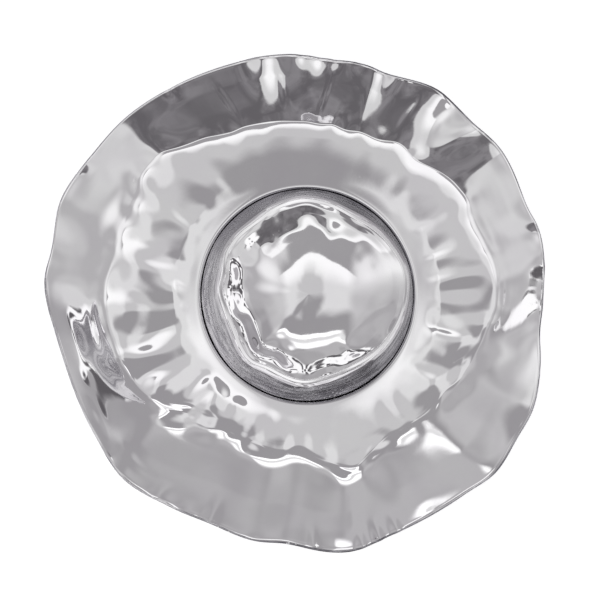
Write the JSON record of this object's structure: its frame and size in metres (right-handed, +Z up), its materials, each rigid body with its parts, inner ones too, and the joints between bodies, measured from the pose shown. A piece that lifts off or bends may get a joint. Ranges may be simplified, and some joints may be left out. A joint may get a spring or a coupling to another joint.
{
  "type": "chip and dip server",
  "caption": "Wide round serving tray of polished cast aluminium with a ruffled, flared rim and a lift-out dip bowl standing in a shallow seat at its centre.",
  "frame": {"origin": "middle of the whole object's box, on the table under the tray's bumpers", "axes": "+Z up out of the bowl; +X to the viewer's right and +Y away from the viewer; the tray's widest reach lies close to X"},
  "size_m": [0.3814, 0.3784, 0.047],
  "materials": {
    "polished_aluminium": "mirror polished over a hand-hammered cast surface",
    "clear_bumper": "soft, clear, slightly frosted"
  },
  "bodies": {
    "tray": {"serving_tray": "polished_aluminium", "tray_bumper_1": "clear_bumper", "tray_bumper_2": "clear_bumper", "tray_bumper_3": "clear_bumper", "tray_bumper_4": "clear_bumper"},
    "bowl": {"dip_bowl": "polished_aluminium", "bowl_bumper_1": "clear_bumper", "bowl_bumper_2": "clear_bumper", "bowl_bumper_3": "clear_bumper"}
  },
  "joints": [
    {"name": "bowl_lift", "type": "slide", "parent": "tray", "child": "bowl", "axis": [0, 0, 1], "range_m": [0, 0.12]}
  ]
}
